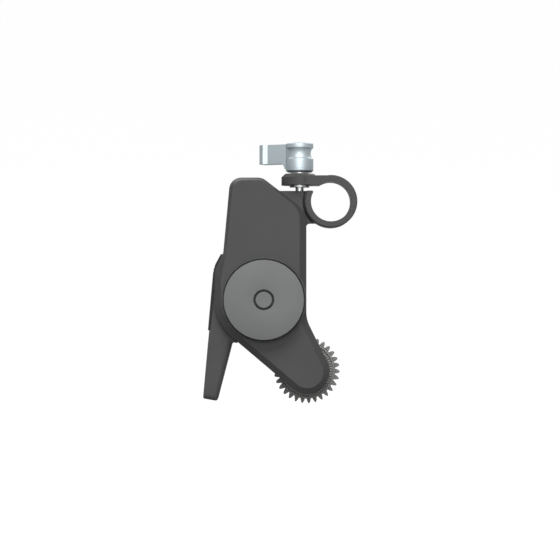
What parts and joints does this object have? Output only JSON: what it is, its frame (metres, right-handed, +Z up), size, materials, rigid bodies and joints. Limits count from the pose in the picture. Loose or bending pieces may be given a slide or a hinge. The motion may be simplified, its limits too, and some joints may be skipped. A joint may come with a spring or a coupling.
{
  "type": "follow focus unit",
  "caption": "Motorised follow focus with a hand wheel, a geared arm that ends in a drive gear, a brake lever and a lever-operated rod clamp.",
  "frame": {"origin": "centre of the rod clamp's bore, at the middle of the ring's width", "axes": "+Y along the rod towards the back, +Z up through the clamp lever, +X to the right seen from the front; the hand wheel faces -Y"},
  "size_m": [0.0591, 0.0275, 0.1005],
  "materials": {
    "casing_black": "satin black paint",
    "wheel_grey": "smooth satin grey",
    "collar_metal": "satin",
    "gear_plastic": "moulded grey-black",
    "lever_black": "satin black",
    "clamp_aluminium": "bead-blasted",
    "cover_rubber": "matt",
    "shoe_rubber": "matt",
    "black_plastic": "matt",
    "board_green": "solder mask",
    "bare_steel": "turned",
    "dark_steel": "blackened steel",
    "brass": "machined"
  },
  "bodies": {
    "housing": {"front_housing": "casing_black", "gear_plate": "casing_black", "rear_cover": "casing_black", "case_screws": "dark_steel", "arm_screw": "dark_steel", "knob_collar": "collar_metal", "knob_bearing_front": "bare_steel", "knob_bearing_rear": "bare_steel", "output_bearing_rear": "bare_steel", "output_bearing_front": "bare_steel", "idler_pin": "bare_steel", "reduction_pin": "bare_steel", "motor_body": "bare_steel", "circuit_board": "board_green", "data_ports": "bare_steel", "port_cover": "cover_rubber", "button_switch": "black_plastic", "lever_pin": "bare_steel", "lever_spring": "bare_steel", "clamp_insert": "brass"},
    "hand_wheel": {"focus_knob": "wheel_grey", "knob_shaft": "bare_steel", "knob_screws": "dark_steel", "knob_circlip": "bare_steel", "knob_spacer": "bare_steel", "knob_gear": "brass", "wheel_gear": "brass", "button_spring": "bare_steel"},
    "button": {"button": "wheel_grey", "button_clip": "bare_steel"},
    "idler": {"idler_gear": "brass"},
    "output": {"output_gear": "brass", "output_shaft": "bare_steel", "output_spacer": "bare_steel", "drive_gear": "gear_plastic", "gear_screw": "dark_steel"},
    "reduction": {"reduction_gear": "black_plastic"},
    "rotor": {"motor_shaft": "bare_steel", "motor_pinion": "brass"},
    "brake": {"brake_lever": "lever_black", "brake_shoe": "shoe_rubber"},
    "clamp_rise": {"clamp_washer": "bare_steel"},
    "clamp_turn": {"clamp_lever": "clamp_aluminium", "clamp_screw": "bare_steel", "retaining_collar": "bare_steel"}
  },
  "joints": [
    {"name": "wheel_spin", "type": "hinge", "parent": "housing", "child": "hand_wheel", "pos_m": [-0.0256, 0, -0.0376], "axis": [0, -1, 0], "continuous": true},
    {"name": "button_press", "type": "slide", "parent": "hand_wheel", "child": "button", "axis": [0, 1, 0], "range_m": [0, 0.0006], "stiffness_N_per_m": 400, "springref_m": -0.0008, "deforming": ["button_spring"]},
    {"name": "idler_spin", "type": "hinge", "parent": "housing", "child": "idler", "pos_m": [-0.01571, 0, -0.05406], "axis": [0, -1, 0], "continuous": true},
    {"name": "output_spin", "type": "hinge", "parent": "housing", "child": "output", "pos_m": [-0.00907, 0, -0.06512], "axis": [0, -1, 0], "continuous": true},
    {"name": "reduction_spin", "type": "hinge", "parent": "housing", "child": "reduction", "pos_m": [-0.0256, 0, -0.0231], "axis": [0, -1, 0], "continuous": true},
    {"name": "rotor_spin", "type": "hinge", "parent": "housing", "child": "rotor", "pos_m": [-0.0256, 0, -0.0101], "axis": [0, -1, 0], "continuous": true},
    {"name": "brake_swing", "type": "hinge", "parent": "housing", "child": "brake", "pos_m": [-0.0399, 0, -0.0241], "axis": [0, -1, 0], "range_deg": [0, 1.75], "stiffness_Nm_per_rad": 0.3, "springref_deg": -14.32},
    {"name": "clamp_lift", "type": "slide", "parent": "housing", "child": "clamp_rise", "axis": [0, 0, 1], "range_m": [0, 0.000701]},
    {"name": "clamp_spin", "type": "hinge", "parent": "clamp_rise", "child": "clamp_turn", "pos_m": [-0.01194, 0, 0], "axis": [0, 0, 1], "range_deg": [0, 360]}
  ],
  "couplings": [
    {"joint": "idler_spin", "follows": "wheel_spin", "ratio": -1.6667},
    {"joint": "output_spin", "follows": "wheel_spin", "ratio": 2.1053},
    {"joint": "reduction_spin", "follows": "wheel_spin", "ratio": -3.1429},
    {"joint": "rotor_spin", "follows": "wheel_spin", "ratio": 10.476},
    {"joint": "clamp_lift", "follows": "clamp_spin", "m_per_rad": 0.00011141}
  ]
}
